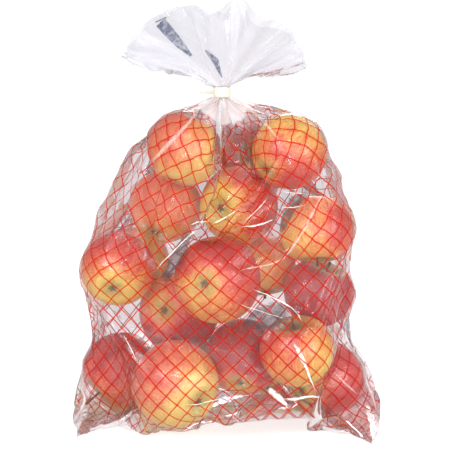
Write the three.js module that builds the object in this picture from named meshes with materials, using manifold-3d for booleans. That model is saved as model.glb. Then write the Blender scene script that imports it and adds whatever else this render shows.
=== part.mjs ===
// A clear film produce bag, tied at the neck with a twist tie and filled with loose apples.
// Millimetres, +Z up. The origin is on the floor, under the neck. The front of the bag faces -Y.

import * as THREE from 'three';
import { ConvexGeometry } from 'three/addons/geometries/ConvexGeometry.js';
import * as BufferGeometryUtils from 'three/addons/utils/BufferGeometryUtils.js';
import Module from 'manifold-3d';

const wasm = await Module();
wasm.setup();

// Driving dimensions
const FILM = 0.8;              // wall of the film solid; the real film is far thinner
const CLEARANCE = 1.6;         // between an apple's bounding sphere and the film's inner face
const APPLE_GAP = 0.6;         // least distance between two apples
const BAG_FRONT = -76;         // how far the apples may push the film towards -Y
const BAG_BACK = 80;           // and towards +Y
const FOOT_RADIUS = 9;         // flat patch that each bottom apple presses into the film
const FOOT_HEIGHT = 6;         // an apple this close to the floor presses such a patch
const RING_POINTS = 12;        // points round a foot patch or the neck
const BALL_DETAIL = 3;         // subdivision of the balls that the hull is wrapped round

// Settling the apples
const SETTLE_STEPS = 900;
const HOMING = 0.03;           // pull back to where an apple was put, in the first steps only
const HOMING_SHARE = 0.6;
const GIVE = new THREE.Vector3(0.3, 1, 0.3);  // an apple gives way mostly in depth

const NECK_RADIUS = 5.6;       // gathered film inside the tie
const NECK_BORE = 2.6;         // what the gathered film leaves open
const NECK_BOTTOM = 255;       // where the gathered film leaves the shoulders
const TIE_BOTTOM = 259;
const TIE_HEIGHT = 9;
const TIE_WALL = 0.9;
const TIE_GAP = 0.3;
const TIE_EDGE = 0.4;
const TIE_SIDES = 40;
const TWIST_LENGTH = 10.5;     // the twisted ends of the tie, pointing to -X
const TWIST_ROOT = 3.4;        // their width at the band
const TWIST_TIP = 0.7;
const TWIST_THICKNESS = 1.1;
const TWIST_TURNS = 0.5;
const TWIST_STEPS = 10;
const TWIST_HEIGHT = 263.6;    // height of the twist's axis

const RUFF_TOP = 334;          // the free end of the film, above the tie
const RUFF_HALF_WIDTH = 68;
const RUFF_HALF_DEPTH = 30;
const RUFF_SHIFT = -8;         // the ruff opens a little more to -X
const RUFF_DROOP = 0.5;        // how far its two side wings hang below its top
const RUFF_DROOP_POWER = 3;    // keeps the droop to the wings' ends
const RUFF_OPENING = 0.62;     // power by which the ruff widens with height
const RUFF_FLUTES = 7;         // folds round the mouth
const FLUTE_DEPTH = 0.14;
const FLUTE_TURN = 0.8;
const RUFF_WALL = 1.0;
const WALL_EASE = 0.2;         // share of the ruff in which the neck's thick wall thins to the ruff's
const FILM_GAP = 0.3;          // between the solids that stand for parts of the one film
const BORE_LENGTH = 30;        // of the cut that opens the hull into the neck
const SLEEVE_LEVELS = 7;       // rings above the tie
const LEVEL_POWER = 1.5;       // above 1, those rings stand closer together near the tie
const SLEEVE_START = 1;        // the lowest of them, above the tie's top edge
const SLEEVE_SIDES = 56;

// Apples: where each one lies before they settle, its radius, the way its stem points,
// and how far the stem's tip is from the centre, in radii.
const SHORT_STEM = 0.97;
const APPLES = [
  { at: [-79, 22, 36], radius: 33.5, stem: [-0.74, -0.3, -0.6], tip: 1.2 },
  { at: [-26, -38, 37], radius: 34.5, stem: [-0.62, 0.72, 0.3] },
  { at: [18, 14, 46], radius: 31.5, stem: [0.12, 0.81, 0.57] },
  { at: [80, 8, 33], radius: 30.5, stem: [0.75, 0.45, 0.25] },
  { at: [-35, 18, 85], radius: 33, stem: [0.36, 0.91, -0.21] },
  { at: [-82, -16, 124], radius: 29.5, stem: [0.1, 0.88, 0.46] },
  { at: [-4, -38, 120], radius: 34, stem: [0.3, 0.95, -0.05] },
  { at: [56, -44, 62], radius: 29, stem: [-0.15, -0.25, 0.95] },
  { at: [75, 4, 103], radius: 28.5, stem: [0.3, -0.2, 0.93] },
  { at: [36, 30, 122], radius: 28, stem: [0.1, -0.3, -0.95] },
  { at: [74, -24, 157], radius: 29, stem: [0, -0.25, -0.97] },
  { at: [-46, 10, 171], radius: 30, stem: [0.3, 0.6, 0.74] },
  { at: [13, -10, 174], radius: 31.5, stem: [0.52, 0.85, 0] },
  { at: [-29, -18, 219], radius: 30, stem: [0.35, 0.2, 0.91], tip: 1.14 },
  { at: [22, 38, 208], radius: 29.5, stem: [-0.05, -0.97, 0.2] },
  { at: [51, -16, 217], radius: 29.5, stem: [0.7, 0.5, 0.5] },
  { at: [-72, 42, 120], radius: 30, stem: [-0.4, 0.8, 0.4] },
  { at: [-30, 54, 34], radius: 29, stem: [0.2, 0.9, -0.3] },
  { at: [44, 52, 34], radius: 29.5, stem: [0.5, 0.7, 0.5] },
  { at: [76, 48, 146], radius: 28.5, stem: [-0.3, 0.9, 0.3] },
  { at: [-22, 44, 216], radius: 28.5, stem: [-0.2, 0.6, 0.77] },
];
const APPLE_SIDES = 18;
const APPLE_RINGS = 10;
const APPLE_WIDEST = 1.002;    // widest of the profile below before it is scaled to its radius
const STEM_DIP = 0.3;          // depth of the stem cavity, in radii
const STEM_DIP_ANGLE = 0.42;
const CALYX_DIP = 0.16;
const CALYX_DIP_ANGLE = 0.36;
const SHOULDER = 0.05;         // how much wider an apple is near its stem
const STEM_RADIUS = 1.1;
const STEM_FOOT_RADIUS = 0.9;
const STEM_SIDES = 6;
const STEM_SEAT = 0.4;         // between the stem's foot and the cavity

// The two bottom corners of the flat bag: each one's tip, and its three roots on the bag
// towards the middle, towards the back and up the side.
const EARS = {
  left: { tip: [-112, -60, 0], inner: [-52, -52, 0], outer: [-104, 4, 0], up: [-98, -20, 42] },
  right: { tip: [116, -88, 0], inner: [44, -50, 0], outer: [108, -2, 0], up: [104, -20, 46] },
};
const EAR_THICKNESS = 1.6;

const SAME_POINT = 1e-4;       // two vertices this close are one

// Looks
const APPLE_SKIN = { color: 0xd8553a, roughness: 0.35 };
const STEM_WOOD = { color: 0x5a4326, roughness: 0.8 };
const CLEAR_FILM = { color: 0xe9e6ee, roughness: 0.2, transparent: true, opacity: 0.3 };
const TIE_PAPER = { color: 0xfff8ea, roughness: 0.6 };

const bag = new THREE.Group();

function addMesh(name, geometry, look, place = null) {
  const mesh = new THREE.Mesh(geometry, new THREE.MeshStandardMaterial(look));
  mesh.name = name;
  if (place) mesh.applyMatrix4(place);
  bag.add(mesh);
}

function solidOf(geometry) {
  const bare = geometry.clone();
  bare.deleteAttribute('normal');
  bare.deleteAttribute('uv');
  const merged = BufferGeometryUtils.mergeVertices(bare, SAME_POINT);
  return new wasm.Manifold(new wasm.Mesh({
    numProp: 3,
    vertProperties: new Float32Array(merged.attributes.position.array),
    triVerts: new Uint32Array(merged.index.array),
  }));
}

function geometryOf(solid) {
  const mesh = solid.getMesh();
  const geometry = new THREE.BufferGeometry();
  geometry.setAttribute('position', new THREE.BufferAttribute(mesh.vertProperties, 3));
  geometry.setIndex(new THREE.BufferAttribute(mesh.triVerts, 1));
  return geometry;
}

// Pushes overlapping apples apart, mostly in depth, and keeps them above the film's base
// and between the front and back panels.
function settle(apples) {
  for (let step = 0; step < SETTLE_STEPS; step += 1) {
    const homing = step < SETTLE_STEPS * HOMING_SHARE ? HOMING : 0;
    for (let i = 0; i < apples.length; i += 1) {
      for (let j = i + 1; j < apples.length; j += 1) {
        const a = apples[i];
        const b = apples[j];
        const way = b.centre.clone().sub(a.centre);
        const lack = a.radius + b.radius + APPLE_GAP - way.length();
        if (lack <= 0) continue;
        way.normalize().multiply(GIVE).multiplyScalar(lack / 2);
        a.centre.sub(way);
        b.centre.add(way);
      }
    }
    for (const apple of apples) {
      const reach = apple.radius + CLEARANCE + FILM;
      apple.centre.x += (apple.at[0] - apple.centre.x) * homing;
      apple.centre.z += (apple.at[2] - apple.centre.z) * homing;
      apple.centre.z = Math.max(apple.centre.z, reach);
      apple.centre.y = THREE.MathUtils.clamp(apple.centre.y, BAG_FRONT + reach, BAG_BACK - reach);
    }
  }
}

function appleProfile(radius) {
  const points = [];
  for (let row = 0; row <= APPLE_RINGS; row += 1) {
    const angle = Math.PI * (1 - row / APPLE_RINGS);
    const width = Math.sin(angle) * (1 + SHOULDER * Math.cos(angle)) / APPLE_WIDEST;
    const height = Math.cos(angle)
      - STEM_DIP * Math.exp(-((angle / STEM_DIP_ANGLE) ** 2))
      + CALYX_DIP * Math.exp(-(((Math.PI - angle) / CALYX_DIP_ANGLE) ** 2));
    const onAxis = row === 0 || row === APPLE_RINGS;
    points.push(new THREE.Vector2(onAxis ? 0 : width * radius, height * radius));
  }
  return points;
}

// Turns local +Y (the axis of a lathe or cylinder) to the apple's own stem direction.
function applePlace(apple) {
  const turn = new THREE.Quaternion().setFromUnitVectors(new THREE.Vector3(0, 1, 0), apple.axis);
  return new THREE.Matrix4().compose(apple.centre, turn, new THREE.Vector3(1, 1, 1));
}

function addApple(apple, number) {
  const name = `apple_${String(number).padStart(2, '0')}`;
  const place = applePlace(apple);
  const body = new THREE.LatheGeometry(appleProfile(apple.radius), APPLE_SIDES);
  addMesh(name, body, APPLE_SKIN, place);
  const foot = (1 - STEM_DIP) * apple.radius + STEM_SEAT;
  const tip = (apple.tip ?? SHORT_STEM) * apple.radius;
  const stem = new THREE.CylinderGeometry(STEM_RADIUS, STEM_FOOT_RADIUS, tip - foot, STEM_SIDES, 1);
  stem.translate(0, (foot + tip) / 2, 0);
  addMesh(`${name}_stem`, stem, STEM_WOOD, place);
}

function ring(x, y, z, radius) {
  return Array.from({ length: RING_POINTS }, (_, i) => {
    const angle = i / RING_POINTS * Math.PI * 2;
    return new THREE.Vector3(x + radius * Math.cos(angle), y + radius * Math.sin(angle), z);
  });
}

// The film is taut over the apples, so it follows the convex hull of their bounding spheres
// and the gathered neck. grow is how far it lies outside the spheres.
function hullOf(apples, grow, floor) {
  const points = [];
  const ball = new THREE.IcosahedronGeometry(1, BALL_DETAIL).attributes.position;
  for (const apple of apples) {
    const reach = apple.radius + grow;
    for (let i = 0; i < ball.count; i += 1) {
      const point = new THREE.Vector3().fromBufferAttribute(ball, i).multiplyScalar(reach);
      point.add(apple.centre);
      point.z = Math.max(point.z, floor);
      points.push(point);
    }
    if (apple.tip) {
      const far = apple.tip * apple.radius + grow;
      points.push(apple.centre.clone().addScaledVector(apple.axis, far));
    }
    if (apple.centre.z - reach < floor + FOOT_HEIGHT) {
      points.push(...ring(apple.centre.x, apple.centre.y, floor, FOOT_RADIUS));
    }
  }
  points.push(...ring(0, 0, NECK_BOTTOM + grow, NECK_BORE + grow - CLEARANCE));
  return new ConvexGeometry(points);
}

// The gathered neck and the fluted ruff above it, as one closed sleeve that stands on the
// hull's top. It starts as a plain tube, and each of its points then moves out to the ruff's
// shape.
function sleeve() {
  const start = TIE_BOTTOM + TIE_HEIGHT + SLEEVE_START;
  const heights = [NECK_BOTTOM + CLEARANCE + FILM + FILM_GAP];
  for (let level = 0; level <= SLEEVE_LEVELS; level += 1) {
    heights.push(start + (level / SLEEVE_LEVELS) ** LEVEL_POWER * (RUFF_TOP - start));
  }
  const outer = heights.map((height) => new THREE.Vector2(NECK_RADIUS, height));
  const inner = heights.map((height) => new THREE.Vector2(NECK_BORE, height)).reverse();
  const geometry = new THREE.LatheGeometry([...outer, ...inner, outer[0].clone()], SLEEVE_SIDES);
  geometry.rotateX(Math.PI / 2);
  const position = geometry.attributes.position;
  const thick = NECK_RADIUS - NECK_BORE;
  for (let i = 0; i < position.count; i += 1) {
    const radius = Math.hypot(position.getX(i), position.getY(i));
    const height = position.getZ(i);
    const angle = Math.atan2(position.getY(i), position.getX(i));
    const open = THREE.MathUtils.clamp((height - start) / (RUFF_TOP - start), 0, 1);
    const spread = open ** RUFF_OPENING;
    const flute = 1 + FLUTE_DEPTH * spread * Math.cos(RUFF_FLUTES * angle + FLUTE_TURN);
    const isInner = radius < (NECK_BORE + NECK_RADIUS) / 2;
    const thinned = Math.min(1, open / WALL_EASE);
    const wall = isInner ? THREE.MathUtils.lerp(thick, RUFF_WALL, thinned) : 0;
    const across = NECK_RADIUS + (RUFF_HALF_WIDTH - NECK_RADIUS) * spread * flute - wall;
    const through = NECK_RADIUS + (RUFF_HALF_DEPTH - NECK_RADIUS) * spread * flute - wall;
    const wing = RUFF_DROOP * Math.abs(Math.cos(angle)) ** RUFF_DROOP_POWER;
    position.setXYZ(
      i,
      across * Math.cos(angle) + RUFF_SHIFT * spread,
      through * Math.sin(angle),
      height - wing * Math.max(0, height - start),
    );
  }
  return geometry;
}

function earSolid(ear) {
  const points = [];
  for (const corner of [ear.tip, ear.inner, ear.outer]) {
    points.push(new THREE.Vector3(...corner));
    points.push(new THREE.Vector3(corner[0], corner[1], corner[2] + EAR_THICKNESS));
  }
  points.push(new THREE.Vector3(...ear.up));
  return solidOf(new ConvexGeometry(points));
}

// What is left of an ear outside the hull. Cutting may leave slivers, so only the largest
// piece is kept.
function earOutside(ear, hull) {
  const pieces = earSolid(ear).subtract(hull).decompose();
  return pieces.reduce((best, piece) => (piece.volume() > best.volume() ? piece : best));
}

// One sheet of film, as four solids: the filled body, its two bottom corners, and the
// gathered neck with its ruff.
function addFilm(apples) {
  const inner = solidOf(hullOf(apples, CLEARANCE, FILM));
  const outer = solidOf(hullOf(apples, CLEARANCE + FILM, 0));
  const bore = new THREE.CylinderGeometry(NECK_BORE, NECK_BORE, BORE_LENGTH, SLEEVE_SIDES);
  bore.rotateX(Math.PI / 2).translate(0, 0, NECK_BOTTOM - BORE_LENGTH / 4);
  addMesh('bag_film', geometryOf(outer.subtract(inner).subtract(solidOf(bore))), CLEAR_FILM);
  addMesh('bag_ruff', sleeve(), CLEAR_FILM);
  const keptClear = solidOf(hullOf(apples, CLEARANCE + FILM + FILM_GAP, -FILM_GAP));
  for (const [side, ear] of Object.entries(EARS)) {
    addMesh(`bag_ear_${side}`, geometryOf(earOutside(ear, keptClear)), CLEAR_FILM);
  }
}

function addTie() {
  const inside = NECK_RADIUS + TIE_GAP;
  const outside = inside + TIE_WALL;
  const top = TIE_BOTTOM + TIE_HEIGHT;
  const profile = [
    [inside, TIE_BOTTOM], [outside - TIE_EDGE, TIE_BOTTOM], [outside, TIE_BOTTOM + TIE_EDGE],
    [outside, top - TIE_EDGE], [outside - TIE_EDGE, top], [inside, top], [inside, TIE_BOTTOM],
  ].map(([radius, height]) => new THREE.Vector2(radius, height));
  const band = new THREE.LatheGeometry(profile, TIE_SIDES);
  band.rotateX(Math.PI / 2);
  addMesh('tie_band', band, TIE_PAPER);

  const twist = new THREE.BoxGeometry(TWIST_LENGTH, 1, 1, TWIST_STEPS, 1, 1);
  const position = twist.attributes.position;
  for (let i = 0; i < position.count; i += 1) {
    const share = position.getX(i) / TWIST_LENGTH + 0.5;
    const width = TWIST_ROOT + (TWIST_TIP - TWIST_ROOT) * share;
    const thickness = TWIST_THICKNESS + (TWIST_TIP - TWIST_THICKNESS) * share;
    const angle = share * TWIST_TURNS * Math.PI * 2;
    const across = position.getY(i) * thickness;
    const up = position.getZ(i) * width;
    position.setXYZ(
      i,
      -(outside + TIE_GAP + share * TWIST_LENGTH),
      -(across * Math.cos(angle) - up * Math.sin(angle)),
      TWIST_HEIGHT + across * Math.sin(angle) + up * Math.cos(angle),
    );
  }
  addMesh('tie_twist', twist, TIE_PAPER);
}

const apples = APPLES.map((apple) => ({
  ...apple,
  centre: new THREE.Vector3(...apple.at),
  axis: new THREE.Vector3(...apple.stem).normalize(),
}));
settle(apples);
apples.forEach((apple, index) => addApple(apple, index + 1));
addFilm(apples);
addTie();

export default bag;
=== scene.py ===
"""Looks of a clear film produce bag: printed net, twist tie, flared ruff and 21 apples.

Metres, +Z up, the bag's front faces -Y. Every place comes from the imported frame.
"""

import math

import bpy
import numpy as np
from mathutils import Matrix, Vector


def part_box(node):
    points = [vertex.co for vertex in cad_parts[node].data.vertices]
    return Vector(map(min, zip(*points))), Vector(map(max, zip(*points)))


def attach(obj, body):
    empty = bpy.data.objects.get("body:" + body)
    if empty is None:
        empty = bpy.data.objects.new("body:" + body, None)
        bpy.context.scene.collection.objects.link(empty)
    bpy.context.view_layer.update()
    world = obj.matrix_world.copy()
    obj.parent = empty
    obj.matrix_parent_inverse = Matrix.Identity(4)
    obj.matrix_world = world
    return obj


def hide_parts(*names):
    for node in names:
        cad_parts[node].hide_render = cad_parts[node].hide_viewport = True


MM = 0.001
SEED = 7
FULL_TURN = 2 * math.pi
FILM_NODES = ("bag_film", "bag_ruff", "bag_ear_left", "bag_ear_right")

# Camera: it looks along +Y, a little downwards, at the middle of the standing bag.
CAMERA_TARGET = Vector((0.0044, 0.0, 0.156))
CAMERA_DISTANCE = 1.0
CAMERA_ELEVATION = math.radians(6)
CAMERA_VIEW_WIDTH = 0.364
SENSOR_WIDTH = 36.0

# Stage
FLOOR_REACH = 6.0
ROOM_LIGHT = 0.85  # how brightly the room lights the bag
BACKDROP = 1.02  # and how bright it is where the camera sees it
LIGHTS_TARGET = (0, 0, 0.15)
LIGHTS = (  # name, place, size in metres, radiance
    ("front", (0.10, -1.5, 0.25), (1.8, 1.0), 2.2),
    ("soft_left", (-0.65, -0.95, 0.75), (0.7, 0.7), 3.1),
    ("soft_right", (0.9, -0.8, 0.4), (0.5, 0.6), 4.6),
    ("spark_left", (-0.50, -0.80, 0.62), (0.05, 0.30), 28),
    ("spark_top", (0.10, -0.75, 0.80), (0.36, 0.04), 26),
    ("spark_low", (0.15, -0.9, 0.03), (0.20, 0.03), 30),
    ("soft_back", (0.3, 0.9, 0.8), (0.7, 0.7), 6.5),
)

# Film: two panels of a flat bag, welded along both sides and folded along the bottom.
PANEL_WIDTH = 320 * MM
PANEL_HEIGHT = 436 * MM
NECK_AT_MIDDLE = 366 * MM  # flat height at which the tie gathers the panel's middle
NECK_AT_SEAM = 348 * MM  # and its side welds
FILM_LIFT = 0.4 * MM  # of the film above the floor
FILM_PROUD = 0.9 * MM  # of the film over an apple's sphere
STEM_ROOM = 3.5 * MM  # and round a stem that sticks out of its apple
BODY_SHARE = 0.8  # of the grid's rows that lie below the tie's middle
LEVELS = ((40, 35, 500), (80, 70, 400), (160, 140, 260), (320, 280, 60))  # columns, rows, steps
JITTER = (0.8, 0.5, 0.25, 0.0)  # at the start of each level, in mm

# The film's first shape, before it settles on the apples
LEFT_SEAM_TURN = math.radians(26)  # how far the left weld is turned towards the front
RIGHT_SEAM_TURN = math.radians(4)
BASE_HEIGHT = 5 * MM
SIDE_TOP = 216 * MM  # where the film starts to close in towards the tie
SECTION_X = (-114 * MM, 113 * MM)
SECTION_Y = (-81 * MM, 83 * MM)
SECTION_POWER = 0.7  # of the rounded-rectangle section; 1 is an ellipse
BOTTOM_SHARE = 0.21  # of the way up to the tie: under the apples
SHOULDER_SHARE = 0.72  # and where the shoulders start

# Settling
DAMPING = 0.88
GRAVITY = 0.012 * MM
SUCTION = 0.014 * MM
STIFF_TENSION = 1.0
STIFF_PRESSING = 0.35
BENDING = 0.04
MOUTH_BENDING = 0.02
FULLNESS = 1.7  # how much more film than the bare cone the pleats hold
NECK_BUNDLE = 4.6 * MM  # mean radius of the gathered film
PLEAT_LENGTH = 10 * MM  # of flat film in one small pleat at the tie
PLEAT_DEPTH = 0.8 * MM
NEAREST = 3  # colliders that each point is tested against
RECHECK = 10  # steps between choices of the nearest ones

# Air trapped inside holds the film out here, in mm: a place, and how far round it
AIR_POCKETS = (
    ((11, -12, 214), 26),
    ((-58, 6, 206), 20),
    ((-68, 4, 184), 21),
    ((-80, 4, 160), 21),
    ((72, -2, 192), 23),
    ((30, -30, 150), 20),
    ((-40, -34, 148), 18),
)

# Ruff: the free end above the tie, seen as a fan
FAN = (  # its outline: degrees and mm from the tie, left wing to right
    (172, 77), (165, 98), (152, 87), (138, 82), (124, 76), (111, 72), (98, 62), (91, 62),
    (84, 65), (75, 71), (68, 65), (58, 62), (48, 65), (37, 69), (27, 71), (19, 72),
    (11, 73), (7, 62),
)
FAN_FOLDS = ((1.4, 8.0), (2.7, 6.0), (4.6, 2.0))  # how many, and how deep in mm
FAN_START = 0.58  # how wide it opens at the tie, as a share of its full angle
FAN_DEPTH = 22 * MM  # how far its front and back stand apart at the mouth
RUFF_START = 8 * MM  # above the tie's middle, where the ruff's own bending starts
RUFF_FULLNESS = 1.08
RUFF_BENDING = 0.16
RUFF_HOME = 0.04  # how strongly the ruff keeps its first shape

# Small folds: how far apart, and how far they move the film or its print, in mm
WOBBLES = ((31, 0.7), (17, 0.55), (9, 0.35))
RIDGES = ((34, 0.9), (27, 0.8), (22, 0.7), (41, 0.9), (18, 0.5), (29, 0.7))

# Strips on the front, as x, z and width along each, in mm.
# Sharp folds with painted glare: a white strip along each one stands in for the highlight on the
# fold
GLARE_FOLDS = (
    (
        (-53, 125, 0.2), (-45, 135, 0.9), (-38, 142, 1.2), (-30, 150, 1.0), (-22, 157, 1.6),
        (-16, 161, 0.3),
    ),
    ((-25, 162, 0.2), (-18, 165, 1.5), (-9, 166, 0.2)),
    ((-8, 164, 0.6), (-2, 167, 2.0), (5, 171, 1.0), (16, 178, 0.2)),
    ((14, 162, 0.2), (24, 163, 1.8), (32, 165, 1.4), (42, 169, 0.3)),
    ((14, 163, 0.2), (22, 170, 0.7), (30, 178, 0.9), (37, 187, 0.2)),
    (
        (20, 118, 0.2), (28, 114, 0.9), (35, 111, 0.9), (46, 105, 1.6), (53, 101, 0.9),
        (58, 96, 1.0), (63, 87, 0.2),
    ),
    ((8, 108, 0.2), (20, 102, 0.6), (36, 96, 0.5), (52, 92, 0.2)),
    ((43, 189, 0.2), (54, 188, 0.9), (66, 187, 0.2)),
    ((43, 177, 0.2), (54, 177, 0.9), (66, 179, 0.2)),
    ((52, 79, 0.3), (57, 72, 4.2), (60, 66, 5.6), (64, 57, 3.4), (67, 48, 1.4), (73, 34, 0.3)),
    ((34, 40, 1.4), (39, 36, 9.0), (44, 31, 8.0), (52, 22, 0.5)),
    ((45, 30, 1.0), (56, 30, 4.4), (65, 32, 3.4), (80, 33, 0.3)),
    ((-30, 30, 0.2), (-18, 29, 1.0), (-4, 31, 0.8), (6, 33, 0.2)),
    ((-76, 80, 0.3), (-70, 70, 1.3), (-64, 59, 0.3)),
)
# Softer folds with a fainter painted glare: a faint white strip along each one stands in for its
# sheen
SHEEN_FOLDS = (
    ((-14, 256, 1.5), (-26, 239, 4.0), (-39, 226, 5.0), (-52, 212, 4.5), (-57, 206, 0.8)),
    (
        (80, 196, 0.5), (75, 185, 2.4), (69, 173, 3.2), (62, 160, 3.2), (53, 147, 3.0),
        (45, 138, 2.6), (37, 135, 1.8), (15, 131, 1.2), (2, 125, 0.3),
    ),
    ((102, 113, 0.3), (91, 102, 1.2), (87, 87, 1.2), (86, 74, 0.3)),
    ((86, 47, 0.5), (98, 35, 3.0), (110, 23, 0.5)),
    ((10, 262, 2.0), (19, 254, 4.0), (33, 240, 3.6), (45, 226, 0.6)),
)
# Painted shade between the apples: dark, clear patches that look like spare film folded in several
# layers
SHADE_PATCHES = (
    ((16, 86, 6.0), (28, 92, 20.0), (40, 95, 24.0), (52, 99, 12.0)),
    ((-23, 159, 5.0), (-33, 142, 11.0), (-44, 121, 8.0)),
    ((66, 187, 6.0), (55, 182, 10.0), (49, 170, 9.0), (45, 157, 4.0)),
)
# Plain dark marks printed on the ruff
MARKS = (
    ((-52, 318, 1.0), (-43, 321.5, 0.8)),
    ((-48, 318, 9.0), (-41, 310, 8.5), (-33, 301, 6.5), (-24, 292, 2.0)),
    ((-13, 296, 1.0), (-5, 288, 5.0), (0, 275, 1.0)),
)
FOLD_PROUD = 0.1 * MM  # of a fold's strip over the film
FOLD_CROWN = 0.6 * MM  # how far, at most, a narrow fold's middle stands out
CROWNED_WIDTH = 2.5 * MM  # folds up to this width are narrow
MARK_PROUD = 0.5 * MM
WELD_WIDTH = 2.0 * MM
WELD_PROUD = 0.1 * MM
WELD_INSET = 0.2 * MM  # from the panel's edge

# Printed net: square cells whose lines run at 45 degrees to the bag
CELL = 10.4 * MM
LINE_WIDTH = 0.92 * MM
LINE_STEP = 1.6 * MM
LINE_PROUD = 0.15 * MM  # of the ink over the film
DIAGONAL = CELL * math.sqrt(2)
LINE_END = 2.6 * MM  # a line runs on this far past its last crossing
PRINT_SIDE = 20 * DIAGONAL / 2 + LINE_END  # print's edge, from the panel's middle
PRINT_CORNER = 21 * DIAGONAL / 2 + LINE_END  # the same in the bottom corners
CORNER_TOP = 78 * MM
PRINT_TOP = 45 * DIAGONAL / 2 + LINE_END
PRINT_TOP_BACK = 47 * DIAGONAL / 2 + LINE_END
PRINT_BOTTOM = 2 * MM

# Apples
APPLE_AROUND = 96
APPLE_ALONG = 64
APPLE_HALF = 0.985  # of the sphere's radius, along the axis
STEM_DIP = 0.32
CALYX_DIP = 0.17

# Skin colours from the shaded side to the side that faced the sun
SKINS = {
    "yellow": ((248, 222, 122), (246, 190, 100), (240, 150, 84), (228, 110, 74)),
    "gold": ((252, 228, 112), (246, 172, 82), (232, 98, 62), (206, 60, 52)),
    "red": ((240, 200, 104), (236, 124, 74), (216, 70, 58), (178, 42, 44)),
    "deep": ((228, 132, 92), (224, 94, 82), (208, 70, 68), (180, 50, 54)),
    "pink": ((254, 230, 128), (246, 164, 108), (232, 108, 86), (208, 76, 70)),
    "olive": ((168, 156, 84), (184, 128, 78), (178, 86, 66), (152, 62, 56)),
}

# Where each apple's red side faces, its skin kind and how much the red covers, in their order
LOOKS = (
    ((-0.4, -0.2, 0.9), "red", 0.0),
    ((-0.6, -0.2, 0.8), "pink", -0.26),
    ((0.2, -0.8, 0.3), "red", 0.05),
    ((0.8, -0.5, 0.3), "pink", 0.14),
    ((0.3, -0.5, -0.6), "red", 0.15),
    ((0.1, 0.0, 1.0), "gold", 0.05),
    ((0.2, -0.3, 0.8), "gold", 0.20),
    ((-0.8, -0.2, 0.6), "gold", -0.08),
    ((0.3, -0.9, 0.2), "deep", 0.05),
    ((0.6, 0.2, 0.6), "yellow", 0.0),
    ((0.8, -0.3, 0.4), "gold", -0.08),
    ((-0.3, -0.6, 0.5), "yellow", 0.12),
    ((0.9, -0.3, 0.3), "gold", 0.0),
    ((-0.6, -0.2, 0.7), "yellow", 0.0),
    ((0.2, -0.8, 0.2), "pink", 0.15),
    ((-0.2, -0.4, -0.9), "gold", 0.02),
    ((-0.5, 0.8, 0.2), "red", 0.05),
    ((0.1, 0.9, 0.3), "olive", 0.05),
    ((0.3, 0.8, -0.4), "pink", 0.05),
    ((-0.5, 0.7, 0.5), "red", 0.0),
    ((-0.3, 0.6, 0.7), "gold", 0.02),
)

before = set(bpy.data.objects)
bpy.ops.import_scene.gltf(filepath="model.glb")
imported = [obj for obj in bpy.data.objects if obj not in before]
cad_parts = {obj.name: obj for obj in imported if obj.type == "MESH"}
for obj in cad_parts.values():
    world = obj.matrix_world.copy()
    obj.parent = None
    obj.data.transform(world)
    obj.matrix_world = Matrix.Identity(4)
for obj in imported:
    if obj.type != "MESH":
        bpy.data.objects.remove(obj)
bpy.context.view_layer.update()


def unique_points(node):
    """The CAD node's vertices, each one once."""
    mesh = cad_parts[node].data
    flat = np.empty(len(mesh.vertices) * 3)
    mesh.vertices.foreach_get("co", flat)
    return np.unique(np.round(flat.reshape(-1, 3), 6), axis=0)


def unit(vector):
    return vector / np.linalg.norm(vector)


def unit_rows(vectors):
    return vectors / np.linalg.norm(vectors, axis=1, keepdims=True)


def smooth(x):
    """0 below 0, 1 above 1, and a smooth step between."""
    x = np.clip(x, 0, 1)
    return x * x * (3 - 2 * x)


def read_apples():
    """Each apple's centre, stem direction, radius and stem tip, read from its CAD nodes."""
    found = []
    names = sorted(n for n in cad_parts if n.startswith("apple") and "stem" not in n)
    for name in names:
        points = unique_points(name)
        stem = unique_points(name + "_stem")
        middle = points.mean(0)
        axis = unit(stem.mean(0) - middle)
        off = points - middle - ((points - middle) @ axis)[:, None] * axis
        width = np.linalg.norm(off, axis=1)
        centre = points[width > width.max() - 0.05 * MM].mean(0)
        found.append({
            "name": name,
            "centre": centre,
            "axis": axis,
            "radius": width.max(),
            "tip": ((stem - centre) @ axis).max(),
        })
    return found


apples = read_apples()
tie_low, tie_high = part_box("tie_band")
TIE_MIDDLE = (tie_low.z + tie_high.z) / 2
left_low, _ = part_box("bag_ear_left")
right_low, right_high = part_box("bag_ear_right")
LEFT_TIP = np.array([left_low.x, left_low.y, FILM_LIFT])
RIGHT_TIP = np.array([right_high.x, right_low.y, FILM_LIFT])


# The film's grid: columns run round the bag from the left weld, front first, and rows run up


def across_panel(columns):
    """How far each column is across its panel, from the left weld to the right one."""
    j = np.arange(columns) / (columns // 2)
    return np.where(j <= 1, j, 2 - j)


def neck_height(across):
    """The flat height at which the tie gathers the film."""
    return NECK_AT_SEAM + (NECK_AT_MIDDLE - NECK_AT_SEAM) * (1 - (2 * across - 1) ** 2)


def flat_grid(columns, rows):
    """The grid's flat coordinates, and its row at the tie."""
    across = across_panel(columns)
    neck = neck_height(across)
    body = round(rows * BODY_SHARE)
    i = np.arange(rows + 1)[:, None]
    above = neck + (PANEL_HEIGHT - neck) * (i - body) / (rows - body)
    v = np.where(i <= body, neck * i / body, above)
    u = np.broadcast_to((across - 0.5) * PANEL_WIDTH, v.shape)
    return u, v, body


def grid_of(points):
    """The flat coordinates and the tie's row of a grid of this shape."""
    return flat_grid(points.shape[1], points.shape[0] - 1)


def section_angle(columns):
    """Where each column stands round the bag, seen from above, once past the bottom."""
    half = columns // 2
    j = np.arange(columns)
    left = math.pi + LEFT_SEAM_TURN
    right = FULL_TURN + RIGHT_SEAM_TURN
    front = left + (right - left) * j / half
    back = right + (left + FULL_TURN - right) * (j - half) / half
    return np.where(j <= half, front, back)


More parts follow.
